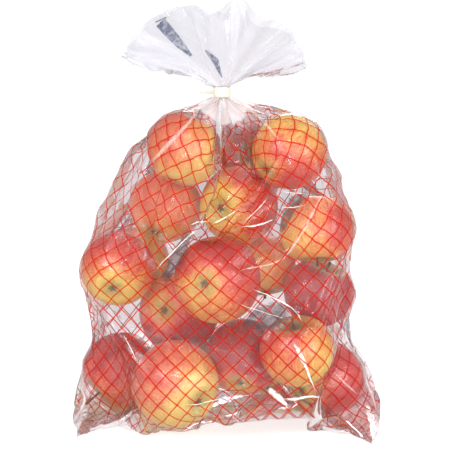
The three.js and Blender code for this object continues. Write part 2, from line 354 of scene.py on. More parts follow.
def fan_folds(across, side, share):
    """Uneven radial folds: how far each point of the ruff stands out of its fan."""
    random = np.random.default_rng(SEED)
    total = np.zeros(np.broadcast(across, share).shape)
    for count, depth in FAN_FOLDS:
        for face in (-1.0, 1.0):
            phase, lean = random.uniform(0, FULL_TURN), random.uniform(-0.6, 0.6)
            wave = np.sin(FULL_TURN * (count * across + lean * share) + phase)
            total += np.where(side == face, wave * depth * MM, 0) * share
    return total


def fan_outline(columns):
    """Each column's direction from the tie in degrees, and how far off its edge is."""
    degrees, reach = np.array(FAN).T
    angle = degrees[0] + (degrees[-1] - degrees[0]) * across_panel(columns)
    return angle, np.interp(-angle, -degrees, reach) * MM


def fan_shape(columns, rows, body):
    """The ruff: rows of points from the tie out to the mouth, front and back."""
    across = across_panel(columns)
    side = np.where(np.arange(columns) <= columns // 2, -1.0, 1.0)
    angle, reach = fan_outline(columns)
    share = (np.arange(rows + 1 - body) / (rows - body))[:, None]
    opened = FAN_START + (1 - FAN_START) * smooth((share - 0.15) / 0.6)
    angle = np.radians(90 + (angle - 90) * opened)
    spread = smooth(share * 3)
    radius = reach * share
    depth = NECK_BUNDLE + (FAN_DEPTH - NECK_BUNDLE) * share
    rise = np.sin(angle) * spread + (1 - spread)
    out = np.zeros((*radius.shape, 3))
    out[..., 0] = radius * np.cos(angle) * spread + NECK_BUNDLE * np.cos(angle) * (1 - spread)
    out[..., 1] = side * depth * np.sin(math.pi * across)
    out[..., 1] += fan_folds(across[None], side[None], share)
    out[..., 2] = TIE_MIDDLE + radius * rise + (tie_high.z - TIE_MIDDLE) * smooth(share * 6)
    return out


def first_shape(columns, rows):
    """The film blown up a little round the apples, with its bottom fold on the floor."""
    body = flat_grid(columns, rows)[2]
    share = (np.arange(rows + 1) / body)[:, None]
    angle = section_angle(columns)[None, :]
    bottom = np.clip(share / BOTTOM_SHARE, 0, 1)
    side = np.clip((share - BOTTOM_SHARE) / (SHOULDER_SHARE - BOTTOM_SHARE), 0, 1)
    top = np.clip((share - SHOULDER_SHARE) / (1 - SHOULDER_SHARE), 0, 1)
    closing = np.cos(top * math.pi / 2)
    out = np.zeros((rows + 1, columns, 3))
    for axis, circle, (low, high) in (
        (0, np.cos(angle), SECTION_X),
        (1, np.sin(angle), SECTION_Y),
    ):
        wave = np.sign(circle) * np.abs(circle) ** SECTION_POWER
        around = (low + high) / 2 + (high - low) / 2 * wave
        out[..., axis] = around * closing + NECK_BUNDLE * circle * (1 - closing)
    out[..., 2] = (
        BASE_HEIGHT * np.sin(bottom * math.pi / 2)
        + (SIDE_TOP - BASE_HEIGHT) * side
        + (TIE_MIDDLE - SIDE_TOP) * np.sin(top * math.pi / 2)
    )
    across = across_panel(columns)[None, :, None]
    fold = LEFT_TIP * (1 - across) + RIGHT_TIP * across
    spread = np.sin(bottom * math.pi / 2)[..., None]
    out = fold * (1 - spread) + out * spread
    out[body:] = fan_shape(columns, rows, body)
    return out


def gather_share(v, body):
    """How much of its flat width each row keeps where the pleats are too fine for the grid."""
    away = np.abs(v - v[body]).mean(1)
    below = FULL_TURN * (NECK_BUNDLE + 0.9 * away)
    above = 2 * math.radians(FAN[0][0] - FAN[-1][0]) * (away + NECK_BUNDLE)
    arc = np.where(np.arange(len(v)) <= body, FULLNESS * below, RUFF_FULLNESS * above)
    return np.minimum(1, arc / (2 * PANEL_WIDTH))


def film_links(v, body):
    """Pairs of neighbours and their flat distances, in sets in which no point appears twice."""
    rows, columns = v.shape[0] - 1, v.shape[1]
    index = np.arange(v.size).reshape(v.shape)
    width = PANEL_WIDTH / (columns // 2) * gather_share(v, body)
    # The ruff's rows are as long as its outline asks, where small folds take up the rest
    tall = v.copy()
    length = np.minimum(1, fan_outline(columns)[1] / (v[-1] - v[body]))
    tall[body:] = v[body] + (v[body:] - v[body]) * length
    links = []

    def add(first, second, rest):
        links.append((first.ravel(), second.ravel(), np.maximum(rest, 1e-6).ravel()))

    right = np.roll(index, -1, 1)
    for start in (0, 1):
        pick = slice(start, None, 2)
        add(index[:, pick], right[:, pick], np.repeat(width[:, None], columns // 2, 1))
    for start in (0, 1):
        pick = slice(start, rows, 2)
        low, high = index[pick], index[1:][pick]
        add(low, high, (tall[1:] - tall[:-1])[pick])
        across = ((width[1:] + width[:-1]) / 2)[pick][:, None]
        for other in (-1, 1):
            slant = np.roll(index[1:], other, 1)[pick]
            rise = (np.roll(tall[1:], other, 1) - tall[:-1])[pick]
            add(low, slant, np.hypot(across, rise))
    return links


def colliders():
    """Spheres that the film stays outside: the apples, the tips of long stems and trapped air."""
    centres = [a["centre"] for a in apples]
    radii = [a["radius"] + FILM_PROUD for a in apples]
    for a in apples:
        if a["tip"] > a["radius"]:
            for share in (0.5, 1.0):
                reach = a["radius"] + share * (a["tip"] - a["radius"])
                centres.append(a["centre"] + a["axis"] * reach)
                radii.append(STEM_ROOM)
    for place, radius in AIR_POCKETS:
        centres.append(np.array(place) * MM)
        radii.append(radius * MM)
    return np.array(centres), np.array(radii)


def push_out(points, centres, radii, near):
    for k in range(near.shape[1]):
        middle = centres[near[:, k]]
        away = points - middle
        length = np.sqrt(np.einsum("ij,ij->i", away, away))
        lack = radii[near[:, k]] / length
        hit = lack > 1
        points[hit] = middle[hit] + away[hit] * lack[hit, None]


def grid_normals(points):
    """Outward directions of the grid."""
    around = np.roll(points, -1, 1) - np.roll(points, 1, 1)
    up = np.empty_like(points)
    up[1:-1] = points[2:] - points[:-2]
    up[0], up[-1] = points[1] - points[0], points[-1] - points[-2]
    normal = np.cross(around, up)
    return normal / np.maximum(np.linalg.norm(normal, axis=2, keepdims=True), 1e-12)


def pin_film(points, home, held):
    """Puts back what the tie and the floor hold: the gathered rows, the ears and the fold."""
    half = points.shape[1] // 2
    points[held] = home[held]
    points[0, 0], points[0, half] = LEFT_TIP, RIGHT_TIP
    fold = (points[0, 1:half] + points[0, :half:-1]) / 2
    points[0, 1:half] = fold
    points[0, :half:-1] = fold


def settle(points, steps, fine):
    """Lets the film sink onto the apples, keeping its flat lengths."""
    columns = points.shape[1]
    _, v, body = grid_of(points)
    links = film_links(v, body)
    centres, radii = colliders()
    home = points.copy()
    offset = (v - v[body]).mean(1)
    held = np.abs(offset) <= (tie_high.z - tie_low.z) / 2
    turn = section_angle(columns)
    pleat = np.arange(columns) * 2 * PANEL_WIDTH / columns / PLEAT_LENGTH
    wave = np.abs(pleat % 1 - 0.5)
    radius = NECK_BUNDLE + PLEAT_DEPTH * (4 * wave - 1) * fine
    home[held, :, 0] = radius * np.cos(turn)
    home[held, :, 1] = radius * np.sin(turn)
    home[held, :, 2] = (TIE_MIDDLE + offset[held])[:, None]
    before = points.copy()
    pace = LEVELS[0][0] / columns if fine else 1
    bend = np.where(offset > RUFF_START, RUFF_BENDING, BENDING)[:, None, None]
    bend[-3:] = MOUTH_BENDING
    for step in range(steps):
        speed = (points - before) * DAMPING
        before = points.copy()
        push = -grid_normals(points) * SUCTION
        push[body:] = (home[body:] - points[body:]) * RUFF_HOME
        push[:body, :, 2] -= GRAVITY
        points += speed + push * pace
        flat = points.reshape(-1, 3)
        for first, second, rest in links:
            gap = flat[second] - flat[first]
            length = np.sqrt(np.einsum("ij,ij->i", gap, gap)) + 1e-9
            over = (length - rest) / length
            share = np.where(over > 0, STIFF_TENSION, STIFF_PRESSING) * over / 2
            shift = gap * share[:, None]
            flat[first] += shift
            flat[second] -= shift
        mean = (np.roll(points, 1, 1) + np.roll(points, -1, 1)) / 2
        points += (mean - points) * bend
        points[1:-1] += ((points[2:] + points[:-2]) / 2 - points[1:-1]) * bend[1:-1]
        if step % RECHECK == 0:
            distance = np.linalg.norm(flat[:, None] - centres[None], axis=2) - radii
            near = np.argsort(distance, 1)[:, :NEAREST]
        push_out(flat, centres, radii, near)
        points[..., 2] = np.maximum(points[..., 2], FILM_LIFT)
        pin_film(points, home, held)
    return points


def finer(points):
    """The grid with twice the columns and rows, on smooth curves through its points."""
    around = (
        9 * (points + np.roll(points, -1, 1)) - np.roll(points, 1, 1) - np.roll(points, -2, 1)
    ) / 16
    wide = np.empty((points.shape[0], points.shape[1] * 2, 3))
    wide[:, 0::2], wide[:, 1::2] = points, around
    mirrored = np.roll(wide[1, ::-1], 1, 0)
    beyond = 2 * wide[-1] - wide[-2]
    padded = np.concatenate([mirrored[None], wide, beyond[None]])
    between = (9 * (padded[1:-2] + padded[2:-1]) - padded[:-3] - padded[3:]) / 16
    tall = np.empty((points.shape[0] * 2 - 1, wide.shape[1], 3))
    tall[0::2], tall[1::2] = wide, between
    return tall


def make_film():
    """The settled film's grid of points, with a little unevenness in its slack upper part."""
    random = np.random.default_rng(SEED)
    points = first_shape(*LEVELS[0][:2])
    for level, (_, _, steps) in enumerate(LEVELS):
        if level:
            points = finer(points)
        v = grid_of(points)[1]
        jitter = random.normal(size=points.shape) * JITTER[level] * MM
        points += jitter * smooth((v - 120 * MM) / (150 * MM))[..., None]
        points = settle(points, steps, level >= 2)
    return points


def zigzag(phase):
    """A wave of straight slopes between -1 and 1, which kinks where it turns."""
    return np.arcsin(np.sin(phase)) * 2 / math.pi


def wobble(u, v):
    """How far the net's lines wander on the film, in its own plane: most where it is slack."""
    slack = 0.2 + 0.8 * smooth((v - 110 * MM) / (150 * MM))
    slack = slack + 0.5 * smooth((np.abs(u) - 105 * MM) / (45 * MM))
    slack = slack + 1.2 * smooth((v - 285 * MM) / (45 * MM))
    random = np.random.default_rng(SEED + 3)
    shift = np.zeros((2, *u.shape))
    for length, size in WOBBLES:
        for k in (0, 1):
            turn, start, warp = random.uniform(0, FULL_TURN, 3)
            along = (u * math.cos(turn) + v * math.sin(turn)) * FULL_TURN / (length * MM)
            bent = 0.7 * np.sin(along * 0.37 + warp)
            shift[k] += zigzag(along + start + bent) * size * MM
    return shift * slack


def ridge_film(points):
    """Raises small folds all over the film."""
    u, v, body = grid_of(points)
    random = np.random.default_rng(SEED + 4)
    lift = np.zeros(u.shape)
    for length, size in RIDGES:
        turn, start, warp, patch = random.uniform(0, FULL_TURN, 4)
        along = (u * math.cos(turn) + v * math.sin(turn)) * math.pi / (length * MM)
        bent = 0.9 * np.sin(along * 0.41 + warp)
        ridge = (1 - np.abs(np.sin(along + start + bent))) ** 3
        local = np.sin(u / (27 * MM) + patch) * np.sin(v / (31 * MM) + 2 * patch)
        lift += ridge * smooth(local * 2 + 0.2) * size * MM
    outward = np.where(np.abs(v - v[body]) < 9 * MM, 0, lift)
    points = points + grid_normals(points) * outward[..., None]
    points[..., 2] = np.maximum(points[..., 2], FILM_LIFT)
    return points


# Meshes


def add_object(name, data):
    obj = bpy.data.objects.new(name, data)
    bpy.context.scene.collection.objects.link(obj)
    return obj


def add_mesh(name, verts, faces):
    mesh = bpy.data.meshes.new(name)
    faces = faces.tolist() if isinstance(faces, np.ndarray) else faces
    mesh.from_pydata(np.asarray(verts).tolist(), [], faces)
    mesh.shade_smooth()
    return add_object(name, mesh)


def add_attribute(obj, name, values):
    """A value or a vector for each vertex, for the material to read."""
    values = np.asarray(values, np.float32)
    kind, field = ("FLOAT", "value") if values.ndim == 1 else ("FLOAT_VECTOR", "vector")
    obj.data.attributes.new(name, kind, "POINT").data.foreach_set(field, values.ravel())


def dress(obj, material, body="filled_bag"):
    obj.data.materials.append(material)
    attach(obj, body)
    return obj


def grid_faces(rows, columns):
    """Quads between the points of an open grid."""
    index = np.arange(rows * columns).reshape(rows, columns)
    corners = [index[:-1, :-1], index[:-1, 1:], index[1:, 1:], index[1:, :-1]]
    return np.stack(corners, 2).reshape(-1, 4)


def tube_faces(rings, sides, base=0):
    """Quads round a tube of rings of points."""
    ring, side = np.divmod(np.arange((rings - 1) * sides), sides)
    a, b = ring * sides + side + base, ring * sides + (side + 1) % sides + base
    return np.stack([a, b, b + sides, a + sides], 1).tolist()


# Film


def panels(grid):
    """The grid's values as its two panels hold them: they share their fold, not their welds."""
    half = grid.shape[1] // 2
    front, back = grid[:, : half + 1], np.concatenate([grid[:, half:], grid[:, :1]], 1)
    tail = grid.shape[2:]
    return np.concatenate([front.reshape(-1, *tail), back.reshape(-1, *tail)])


def film_milk(points):
    """How milky each point of the film looks: where it is gathered, and in the ruff."""
    _, v, body = grid_of(points)
    wide = np.linalg.norm(np.roll(points, -1, 1) - points, axis=2)
    kept = wide / (PANEL_WIDTH / (points.shape[1] // 2))
    kept = (kept + np.roll(kept, 1, 1) + np.roll(kept, -1, 1)) / 3
    packed = np.clip((0.85 - kept) / 0.85, 0, 1)
    past = v - v[body]
    near = smooth((past + 60 * MM) / (60 * MM))
    below = smooth((past + 48 * MM) / (40 * MM)) * (past < 0)
    most = np.where(past > 0, 0.72 + 0.2 * np.exp(-past / (14 * MM)), 1)
    return np.clip(0.5 * packed + 0.55 * near + 0.9 * below, 0, most)


def add_film(points):
    rows, columns = points.shape[:2]
    half = columns // 2
    faces = grid_faces(rows, half + 1)
    film = add_mesh("film", panels(points), np.concatenate([faces, faces + rows * (half + 1)]))
    u, v, _ = grid_of(points)
    back = np.where(np.arange(columns) <= half, 0.0, 1.0)
    add_attribute(film, "flat", panels(np.stack([u, v, np.broadcast_to(back, u.shape)], 2)))
    add_attribute(film, "milk", panels(film_milk(points)))
    dress(film, film_material())
    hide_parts(*FILM_NODES)
    return film


class FilmMap:
    """Finds places on the settled film from flat coordinates on a panel."""

    def __init__(self, points):
        self.points = points
        self.normals = grid_normals(points)
        self.rows, self.columns = points.shape[0] - 1, points.shape[1]
        self.body = round(self.rows * BODY_SHARE)

    def place(self, u, v, face, proud):
        """Points at flat (u, v) over the front (face 1) or back (face -1) panel."""
        half = self.columns // 2
        across = u / PANEL_WIDTH + 0.5
        neck = neck_height(across)
        low = v / neck * self.body
        high = self.body + (v - neck) / (PANEL_HEIGHT - neck) * (self.rows - self.body)
        row = np.clip(np.where(v <= neck, low, high), 0, self.rows - 1e-6)
        column = across * half if face > 0 else self.columns - across * half
        i, j = np.floor(row).astype(int), np.floor(column).astype(int)
        p, q = (row - i)[:, None], (column - j)[:, None]
        j, k = j % self.columns, (j + 1) % self.columns

        def mixed(grid):
            low = grid[i, j] * (1 - q) + grid[i, k] * q
            high = grid[i + 1, j] * (1 - q) + grid[i + 1, k] * q
            return low * (1 - p) + high * p

        return mixed(self.points) + proud * mixed(self.normals)


def strip(film_map, path, width, face, proud):
    """A flat strip on the film along a path in flat coordinates: its points and faces."""
    along = unit_rows(np.gradient(path, axis=0))
    side = np.stack([-along[:, 1], along[:, 0]], 1) * width / 2
    limit = PANEL_WIDTH / 2
    edges = []
    for sign in (1, -1):
        edge = path + sign * side
        u, v = np.clip(edge[:, 0], -limit, limit), np.clip(edge[:, 1], 0, PANEL_HEIGHT)
        edges.append(film_map.place(u, v, face, proud))
    count = len(path)
    k = np.arange(count - 1)
    return np.concatenate(edges), np.stack([k, k + 1, k + 1 + count, k + count], 1)


def net_lines(top):
    """Start and end, in flat coordinates, of every line of the printed net."""
    found = []
    reach = int((PRINT_CORNER + top) / DIAGONAL) + 2
    for slope in (1, -1):
        for k in range(-reach, reach + 1):
            # the line is v = slope * u + k * DIAGONAL
            ends = sorted((y - k * DIAGONAL) / slope for y in (PRINT_BOTTOM, top))
            u = np.array([max(ends[0], -PRINT_CORNER), min(ends[1], PRINT_CORNER)])
            if u[1] - u[0] > LINE_END:
                found.append(np.stack([u, slope * u + k * DIAGONAL], 1))
    return found


def make_net(film_map, face, name):
    verts, faces, total = [], [], 0
    for start, end in net_lines(PRINT_TOP if face > 0 else PRINT_TOP_BACK):
        count = max(3, int(np.linalg.norm(end - start) / LINE_STEP) + 1)
        path = start + (end - start) * np.linspace(0, 1, count)[:, None]
        side = np.where(path[:, 1] < CORNER_TOP, PRINT_CORNER, PRINT_SIDE)
        path = path[np.abs(path[:, 0]) <= side]
        if len(path) < 3:
            continue
        path = path + wobble(path[:, 0], path[:, 1]).T
        points, quads = strip(film_map, path, LINE_WIDTH, face, LINE_PROUD)
        verts.append(points)
        faces.append(quads + total)
        total += len(points)
    return add_mesh(name, np.concatenate(verts), np.concatenate(faces))


def add_print(film_map):
    red = ink_material(
        "net_ink", (174, 22, 6), (200, 35, 10), 0.92, 0.1, filtered=(0.90, 0.10, 0.03), thin=0.35
    )
    return [
        dress(make_net(film_map, face, name), red)
        for face, name in ((1, "net_front"), (-1, "net_back"))
    ]


def patch_on_front(points, table, proud, crown=0, rows=40, across=9):
    """A strip laid on the film's front along a table of x, z and width in mm.

    Gives its points, its faces and how near its edge each point is.
    """
    path, widths = np.split(np.array(table) * MM, [2], axis=1)
    front = points[:, : points.shape[1] // 2 + 1].reshape(-1, 3)
    room = 8 * MM
    near = (front[:, [0, 2]] > path.min(0) - room) & (front[:, [0, 2]] < path.max(0) + room)
    front = front[near.all(1)]
    steps = np.concatenate([[0], np.cumsum(np.linalg.norm(np.diff(path, axis=0), axis=1))])
    along = np.linspace(0, steps[-1], rows)
    line = np.stack([np.interp(along, steps, path[:, k]) for k in (0, 1)], 1)
    wide = np.interp(along, steps, widths[:, 0])
    way = unit_rows(np.gradient(line, axis=0))
    side = np.stack([way[:, 1], -way[:, 0]], 1)
    shift = np.linspace(-1, 1, across)
    spots = line[:, None] + side[:, None] * shift[None, :, None] * wide[:, None, None] / 2
    spots = spots.reshape(-1, 2)
    # The depth is that of the film's foremost points near each spot
    apart = np.linalg.norm(spots[:, None] - front[None, :, [0, 2]], axis=2)
    lead = np.where(apart < 4 * MM, front[None, :, 1], 1).min(1)
    behind = np.maximum(front[None, :, 1] - lead[:, None], 0)
    weight = np.exp(-((apart / (1.8 * MM)) ** 2) - behind / (1.5 * MM)) + 1e-12
    depth = (weight * front[None, :, 1]).sum(1) / weight.sum(1) - proud
    depth -= np.tile(1 - shift ** 2, rows) * np.repeat(np.minimum(wide * 0.5, crown), across)
    ends = np.abs(np.linspace(-1, 1, rows)) ** 4
    edge = np.maximum(np.tile(shift ** 2, rows), np.repeat(ends, across))
    verts = np.stack([spots[:, 0], depth, spots[:, 1]], 1)
    return verts, grid_faces(rows, across)[:, [0, 3, 2, 1]], edge


# Strips on the front: painted shade between the apples, painted glare on sharp folds and fainter
# painted glare on soft ones
def add_shade_and_glare_strips(points):
    made = []
    for name, folds, material, across in (
        ("gap_shade", SHADE_PATCHES, gap_shade_material(), 31),
        ("fold_glare", GLARE_FOLDS, glare_fold_material("film_fold_glare", 0.9), 9),
        ("fold_sheen", SHEEN_FOLDS, glare_fold_material("film_fold_sheen", 0.27), 9),
    ):
        for k, table in enumerate(folds):
            widest = max(width for _, _, width in table) * MM
            crown = FOLD_CROWN if widest < CROWNED_WIDTH else 0
            verts, faces, edge = patch_on_front(points, table, FOLD_PROUD, crown, 60, across)
            fold = add_mesh(f"{name}_{k + 1:02d}", verts, faces)
            add_attribute(fold, "edge", edge)
            made.append(dress(fold, material))
    return made


def add_welds_and_marks(film_map):
    made = []
    weld = weld_material()
    dark = ink_material("mark_ink", (58, 66, 88), (92, 100, 124), 0.9, 0.7)
    for side, name in ((-1, "weld_left"), (1, "weld_right")):
        v = np.arange(0, PANEL_HEIGHT, LINE_STEP)
        u = np.full_like(v, side * (PANEL_WIDTH / 2 - WELD_WIDTH / 2 - WELD_INSET))
        points, faces = strip(film_map, np.stack([u, v], 1), WELD_WIDTH, 1, WELD_PROUD)
        made.append(dress(add_mesh(name, points, faces), weld))
    for k, table in enumerate(MARKS):
        points, faces, _ = patch_on_front(film_map.points, table, MARK_PROUD)
        made.append(dress(add_mesh(f"mark_{k + 1}", points, faces), dark))
    return made


# Apples


def cross_frame(axis):
    """Two directions square to the axis."""
    helper = np.array([0, 0, 1.0]) if abs(axis[2]) < 0.8 else np.array([1.0, 0, 0])
    first = unit(np.cross(axis, helper))
    return first, np.cross(axis, first)


def make_apple(apple, blush, random):
    """A lobed apple with a stem cavity and a calyx basin, inside its CAD sphere."""
    centre, radius, axis = apple["centre"], apple["radius"], apple["axis"]
    first, second = cross_frame(axis)
    polar = np.linspace(0, math.pi, APPLE_ALONG + 1)[1:-1][:, None]
    around = np.linspace(0, FULL_TURN, APPLE_AROUND, endpoint=False)[None]
    lobes, lean = random.uniform(0, FULL_TURN, 2)
    calyx_end = smooth((polar - 1.5) / 1.6)
    stem_end = smooth((1.5 - polar) / 1.5)
    lobe = 0.5 * (np.cos(5 * around + lobes) - 1)
    shrink = 0.035 * lobe * calyx_end + 0.022 * lobe * stem_end
    shrink = shrink - 0.02 * (1 - np.cos(around + lean)) * 0.5
    wide = np.sin(polar) * (1 + 0.05 * np.cos(polar) - 0.05 * calyx_end ** 2) * (1 + shrink)
    high = (
        np.cos(polar) * (APPLE_HALF + 0.02 * shrink)
        - STEM_DIP * np.exp(-((polar / 0.40) ** 2))
        + CALYX_DIP * np.exp(-(((math.pi - polar) / 0.36) ** 2)) * (1 + 0.15 * lobe)
    )
    grid = (
        centre
        + radius * (wide * np.cos(around))[..., None] * first
        + radius * (wide * np.sin(around))[..., None] * second
        + radius * high[..., None] * axis
    )
    poles = [
        centre + axis * radius * (APPLE_HALF - STEM_DIP),
        centre - axis * radius * (APPLE_HALF - CALYX_DIP),
    ]
    verts = np.concatenate([grid.reshape(-1, 3), poles])
    index = np.arange(len(verts) - 2).reshape(grid.shape[:2])
    nxt = np.roll(index, -1, 1)
    faces = np.stack([index[:-1], index[1:], nxt[1:], nxt[:-1]], 2).reshape(-1, 4).tolist()
    top, bottom = len(verts) - 2, len(verts) - 1
    faces += [[top, a, b] for a, b in zip(index[0], nxt[0])]
    faces += [[bottom, b, a] for a, b in zip(index[-1], nxt[-1])]
    skin = add_mesh(apple["name"] + "_skin", verts, faces)
    flat_polar = np.concatenate([np.repeat(polar[:, 0], APPLE_AROUND), [0, math.pi]])
    flat_around = np.concatenate([np.tile(around[0], len(polar)), [0, 0]])
    ring = np.sin(flat_polar)
    streak = [ring * np.cos(flat_around), ring * np.sin(flat_around), 0.16 * flat_polar]
    add_attribute(skin, "streak", np.stack(streak, 1))
    add_attribute(skin, "polar", flat_polar / math.pi)
    add_attribute(skin, "sun", unit_rows(verts - centre) @ unit(np.array(blush, float)))
    return skin


def make_stem(apple, random):
    """A short woody stalk that curves a little out of the stem cavity."""
    axis, radius = apple["axis"], apple["radius"]
    first, second = cross_frame(axis)
    start, end = radius * (0.95 - STEM_DIP), apple["tip"]
    sides, steps = 10, 9
    bend = random.uniform(-0.5, 0.5, 2) * MM
    share = np.linspace(0, 1, steps + 1)[:, None]
    angle = FULL_TURN * np.arange(sides)[None] / sides
    middle = apple["centre"] + axis * (start + (end - start) * share)
    middle = middle + (first * bend[0] + second * bend[1]) * share ** 2
    thick = (1.0 - 0.25 * np.sin(math.pi * share) + 0.25 * smooth((share - 0.7) / 0.3)) * MM
    knob = 1 + 0.12 * np.sin(3 * angle + 5 * share)
    out = first * np.cos(angle)[..., None] + second * np.sin(angle)[..., None]
    rings = middle[:, None] + (thick * knob)[..., None] * out
    ends = [apple["centre"] + axis * start, middle[-1] + axis * 0.2 * MM]
    verts = np.concatenate([rings.reshape(-1, 3), ends])
    faces = tube_faces(steps + 1, sides)
    foot, tip, last = len(verts) - 2, len(verts) - 1, steps * sides
    faces += [[foot, (s + 1) % sides, s] for s in range(sides)]
    faces += [[tip, last + s, last + (s + 1) % sides] for s in range(sides)]
    return add_mesh(apple["name"] + "_stalk", verts, faces)


def make_calyx(apple, random):
    """Five dry sepals that close over the basin at the apple's lower end."""
    axis = -apple["axis"]
    first, second = cross_frame(axis)
    floor = apple["radius"] * (APPLE_HALF - CALYX_DIP)
    spin = random.uniform(0, FULL_TURN)
    verts, faces = [], []
    leaves, steps, length, width = 5, 5, 3.8 * MM, 2.0 * MM
    for leaf in range(leaves):
        angle = spin + FULL_TURN * leaf / leaves + random.uniform(-0.15, 0.15)
        out = first * math.cos(angle) + second * math.sin(angle)
        side = np.cross(axis, out)
        curl = random.uniform(0.5, 1.0)
        for k in range(steps + 1):
            share = k / steps
            reach = 0.7 * MM + length * share * (1 - 0.35 * curl * share)
            rise = (0.35 + 1.9 * share - 1.1 * curl * share ** 2) * MM
            half = width / 2 * (1 - share) ** 0.7 + 0.08 * MM
            spot = apple["centre"] + axis * (floor + rise) + out * reach
            if share < 1:
                a = len(verts)
                faces += [[a, a + 1, a + 4, a + 3], [a + 1, a + 2, a + 5, a + 4]]
            verts += [spot - side * half, spot + axis * 0.25 * MM, spot + side * half]
    return add_mesh(apple["name"] + "_calyx", verts, faces)


def add_apples():
    random = np.random.default_rng(SEED + 1)
    wood = grainy_material(
        "apple_stem_wood", 900, ((0.3, (62, 42, 24)), (0.6, (116, 84, 48)), (0.8, (150, 120, 74))),
        0.8, 0.3 * MM, 0.6,
    )
    dry = grainy_material(
        "apple_calyx_dry", 700, ((0.3, (84, 76, 50)), (0.7, (146, 136, 88))), 0.85, 0.3 * MM, 0.5
    )
    for k, (apple, (blush, kind, cover)) in enumerate(zip(apples, LOOKS)):
        skin = make_apple(apple, blush, random)
        dress(skin, skin_material(apple["name"] + "_skin", kind, cover, 3.7 * k))
        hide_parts(apple["name"])
        stalk = dress(make_stem(apple, random), wood)
        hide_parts(apple["name"] + "_stem")
        dress(make_calyx(apple, random), dry)


# Tie


def tie_band():
    """A flat band with rounded, slightly wavy edges: its points and faces."""
    around, rows = 96, 12
    inner, outer = tie_high.x - 0.9 * MM, tie_high.x
    angle = FULL_TURN * np.arange(around)[:, None] / around
    turn = FULL_TURN * np.arange(rows)[None] / rows
    square = np.maximum(np.abs(np.cos(turn)), np.abs(np.sin(turn)))
    out, up = np.cos(turn) / square, np.sin(turn) / square
    wave = 0.22 * MM * np.sin(5 * angle + 1) + 0.12 * MM * np.sin(13 * angle)
    radius = (inner + outer) / 2 + out * (outer - inner) / 2 - 0.05 * MM
    half = (tie_high.z - tie_low.z) / 2 - 0.3 * MM
    height = TIE_MIDDLE + up * half * (1 - 0.06 * (1 + out)) + wave
    verts = np.stack([radius * np.cos(angle), radius * np.sin(angle), height], 2).reshape(-1, 3)
    index = np.arange(around * rows).reshape(around, rows)
    nxt, side = np.roll(index, -1, 0), np.roll(index, -1, 1)
    return verts, np.stack([index, nxt, np.roll(nxt, -1, 1), side], 2).reshape(-1, 4)


def tie_twist():
    """Two flat strands that turn round each other and taper: their points and faces."""
    low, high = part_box("tie_twist")
    length, middle = high.x - low.x, (low.z + high.z) / 2
    turns, steps, sides = 2.5, 60, 8
    share = np.linspace(0, 1, steps + 1)[:, None]
    turn = FULL_TURN * np.arange(sides)[None] / sides
    verts, faces = [], []
    for strand in (0, 1):
        angle = strand * math.pi + turns * FULL_TURN * share
        apart = 0.75 * MM * (1 - 0.75 * share)
        wide = (1.05 - 0.8 * share) * MM * np.cos(turn)
        thin = (0.45 - 0.25 * share) * MM * np.sin(turn)
        x = np.broadcast_to(high.x - length * share, wide.shape)
        y = apart * np.cos(angle) - np.sin(angle) * wide + np.cos(angle) * thin
        z = middle + apart * np.sin(angle) + np.cos(angle) * wide + np.sin(angle) * thin
        verts.append(np.stack([x, y, z], 2).reshape(-1, 3))
        base = strand * (steps + 1) * sides
        last = base + steps * sides
        faces += tube_faces(steps + 1, sides, base)
        faces += [list(range(base, base + sides))[::-1], list(range(last, last + sides))]
    return np.concatenate(verts), faces


def add_tie():
    paper = grainy_material(
        "tie_paper", 1400, ((0.3, (204, 195, 176)), (0.7, (226, 217, 199))), 0.65, 0.15 * MM, 0.6
    )
    band = dress(add_mesh("tie_band_paper", *tie_band()), paper)
    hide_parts("tie_band")
    twist = dress(add_mesh("tie_twist_paper", *tie_twist()), paper, "twist_ends")
    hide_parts("tie_twist")


# Materials


